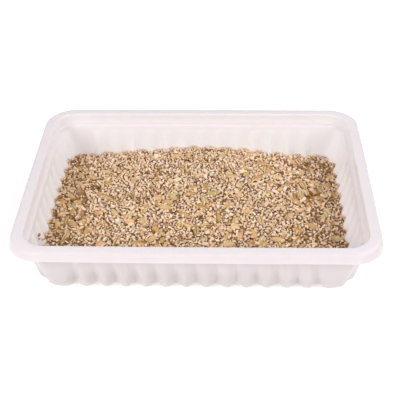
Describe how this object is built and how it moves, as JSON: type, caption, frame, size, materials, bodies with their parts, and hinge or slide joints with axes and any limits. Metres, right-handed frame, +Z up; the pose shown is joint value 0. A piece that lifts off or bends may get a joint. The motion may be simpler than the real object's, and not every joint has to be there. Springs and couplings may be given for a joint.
{
  "type": "cat grass tray",
  "caption": "Fluted shallow plastic tray with a flanged rim, filled with a granular growing bed that has cereal grains lying in its surface.",
  "frame": {"origin": "on the surface that the tray stands on, under the middle of the tray's outline", "axes": "+X along the tray to the right, +Y to the back, +Z up; the front faces -Y"},
  "size_m": [0.1876, 0.1376, 0.036],
  "materials": {
    "tray_plastic": "white to faintly pink polypropylene sheet, semi-gloss, slightly translucent",
    "substrate": "loose dry beige to brown granules with dark gaps between them; wood stands in for a light mineral or fibre mix",
    "grain_golden": "dry golden husk, satin",
    "grain_green": "dry yellow-green husk, satin",
    "grain_orange": "dry orange-brown naked kernel, satin"
  },
  "bodies": {
    "root": {"tray": "tray_plastic", "substrate_bed": "substrate", "seed_01": "grain_golden", "seed_02": "grain_golden", "seed_03": "grain_green", "seed_04": "grain_orange", "seed_05": "grain_golden", "seed_06": "grain_green", "seed_07": "grain_green", "seed_08": "grain_golden", "seed_09": "grain_golden", "seed_10": "grain_green", "seed_11": "grain_orange", "seed_12": "grain_golden", "seed_13": "grain_orange", "seed_14": "grain_golden", "seed_15": "grain_green", "seed_16": "grain_orange", "seed_17": "grain_golden", "seed_18": "grain_green", "seed_19": "grain_orange", "seed_20": "grain_green", "seed_21": "grain_golden", "seed_22": "grain_golden", "seed_23": "grain_green", "seed_24": "grain_golden", "seed_25": "grain_orange", "seed_26": "grain_golden", "seed_27": "grain_golden", "seed_28": "grain_golden", "seed_29": "grain_green", "seed_30": "grain_golden", "seed_31": "grain_green", "seed_32": "grain_golden", "seed_33": "grain_golden", "seed_34": "grain_orange", "seed_35": "grain_golden", "seed_36": "grain_golden", "seed_37": "grain_green", "seed_38": "grain_golden", "seed_39": "grain_golden", "seed_40": "grain_golden", "seed_41": "grain_green", "seed_42": "grain_green", "seed_43": "grain_green", "seed_44": "grain_golden", "seed_45": "grain_golden"}
  },
  "joints": []
}
